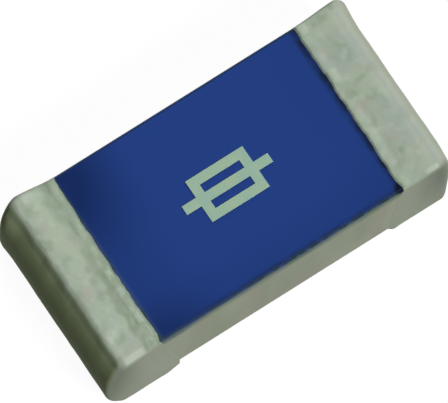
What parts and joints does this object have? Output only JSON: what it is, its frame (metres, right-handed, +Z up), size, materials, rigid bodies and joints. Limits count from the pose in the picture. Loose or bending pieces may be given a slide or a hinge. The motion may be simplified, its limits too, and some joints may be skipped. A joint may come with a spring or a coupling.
{
  "type": "surface-mount fuse",
  "caption": "Small ceramic chip fuse for soldering flat to a circuit board, with a blue glass top and tinned end caps around a buried silver link.",
  "frame": {"origin": "centre of the footprint, on the plane of the two solder pads", "axes": "+X along the chip, +Y across it, +Z up from the board"},
  "size_m": [0.0032, 0.0016, 0.001],
  "materials": {
    "ceramic": "matte fired ceramic, pale grey-green",
    "blue_glass": "satin, dark blue fired glass",
    "element_silver": "fired silver film",
    "fired_silver": "matte fired silver",
    "nickel": "satin plated nickel",
    "matte_tin": "matte plated tin, softly mottled"
  },
  "bodies": {
    "root": {"blue_cover": "blue_glass", "ceramic_body": "ceramic", "fuse_element_1": "element_silver", "fuse_element_2": "element_silver", "fuse_element_3": "element_silver", "nickel_barrier_left": "nickel", "nickel_barrier_right": "nickel", "silver_cap_left": "fired_silver", "silver_cap_right": "fired_silver", "tin_finish_left": "matte_tin", "tin_finish_right": "matte_tin"}
  },
  "joints": []
}
